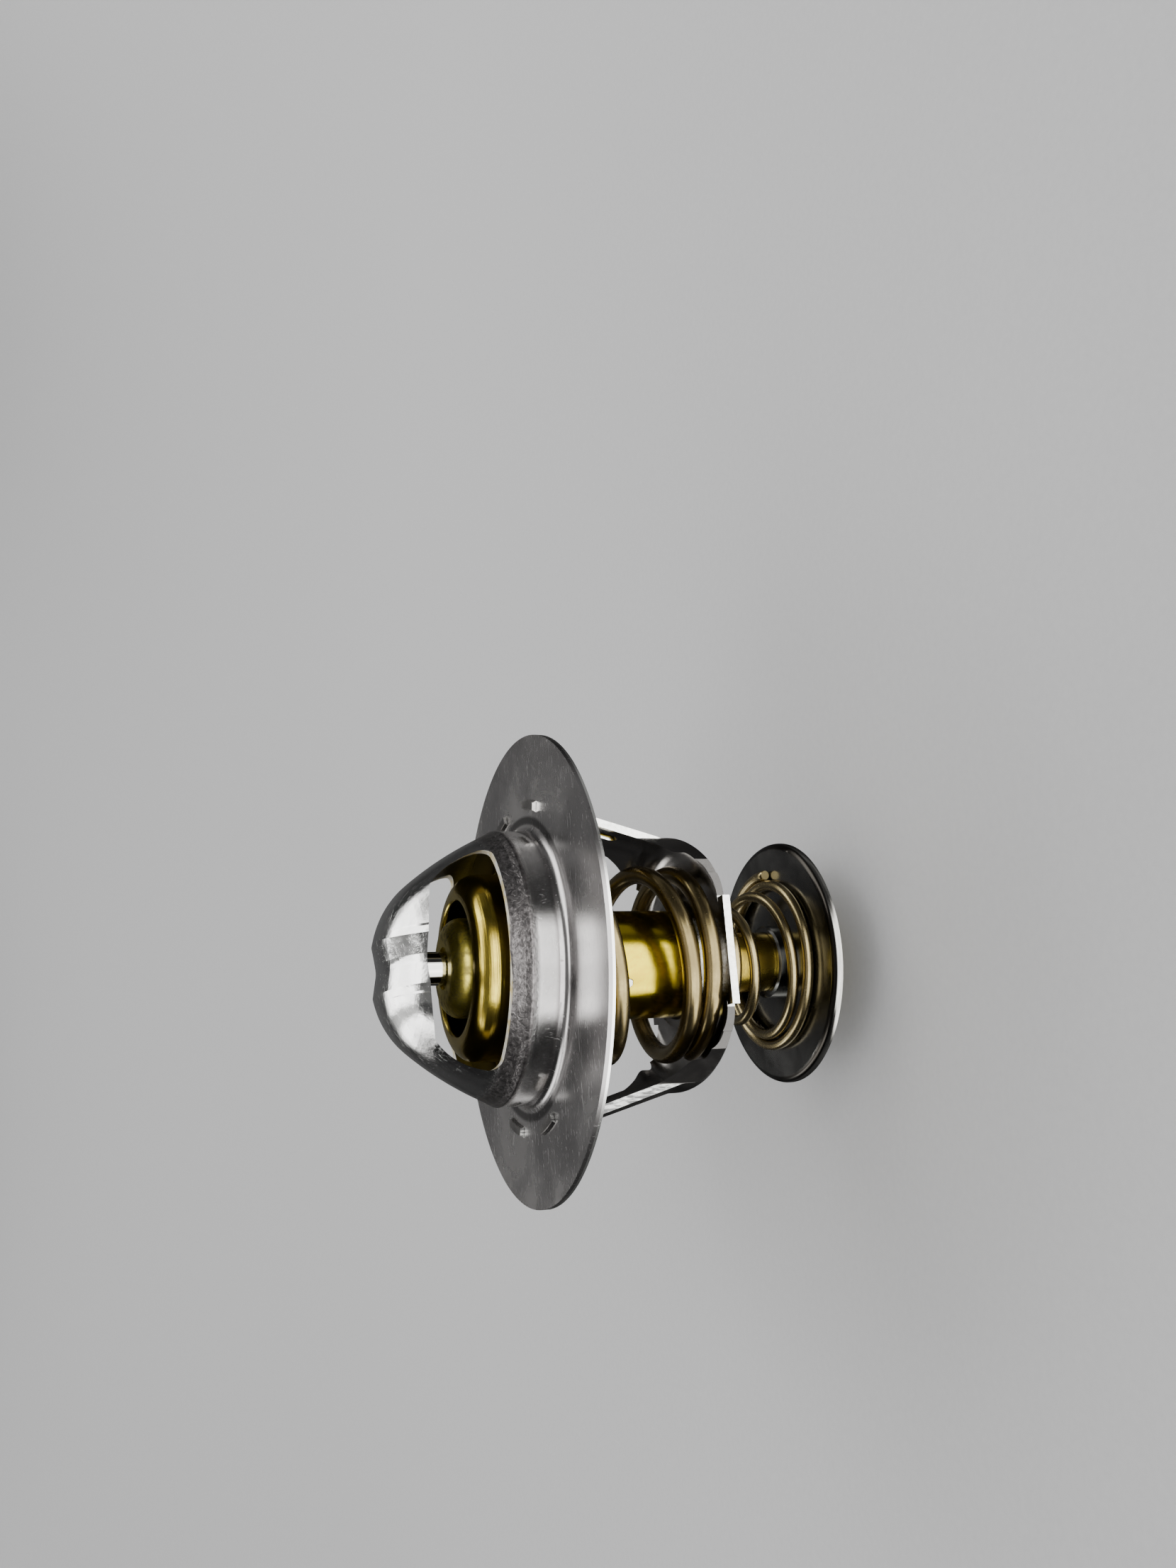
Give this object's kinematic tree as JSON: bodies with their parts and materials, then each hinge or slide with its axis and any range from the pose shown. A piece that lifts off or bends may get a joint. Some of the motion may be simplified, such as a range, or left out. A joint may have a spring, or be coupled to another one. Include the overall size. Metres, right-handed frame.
{
  "type": "engine thermostat",
  "caption": "Wax thermostat for an engine's coolant housing: flanged bridge, sprung valve on a wax capsule, and a sprung bypass disc below.",
  "frame": {"origin": "centre of the flange's outlet face, on the axis", "axes": "+Z along the axis towards the bridge, +X through a leg of the lower frame, +Y through a window of the bridge"},
  "size_m": [0.067, 0.067, 0.0637],
  "materials": {
    "frame_steel": "satin pressed stainless sheet",
    "leg_steel": "dull pressed steel sheet",
    "piston_steel": "ground and polished",
    "turned_brass": "turned, slightly tarnished",
    "spring_wire": "bronze-grey drawn wire",
    "disc_steel": "polished dark steel",
    "inner_rubber": "matte",
    "inner_washer": "smooth",
    "wax": "wax filled with copper powder"
  },
  "bodies": {
    "frame": {"upper_frame": "frame_steel", "lower_frame": "leg_steel", "piston": "piston_steel", "main_spring": "spring_wire"},
    "element": {"guide": "turned_brass", "piston_washer": "inner_washer", "sleeve": "inner_rubber", "wax_charge": "wax", "capsule": "turned_brass", "valve": "turned_brass", "bypass_stem": "turned_brass", "bypass_spring": "spring_wire", "retaining_ring": "disc_steel"},
    "bypass": {"bypass_disc": "disc_steel"}
  },
  "joints": [
    {"name": "valve_slide", "type": "slide", "parent": "frame", "child": "element", "axis": [0, 0, -1], "range_m": [0, 0.008], "stiffness_N_per_m": 1500, "springref_m": -0.008, "deforming": ["main_spring"]},
    {"name": "bypass_slide", "type": "slide", "parent": "element", "child": "bypass", "axis": [0, 0, 1], "range_m": [0, 0.006], "stiffness_N_per_m": 800, "springref_m": -0.008, "deforming": ["bypass_spring"]}
  ]
}
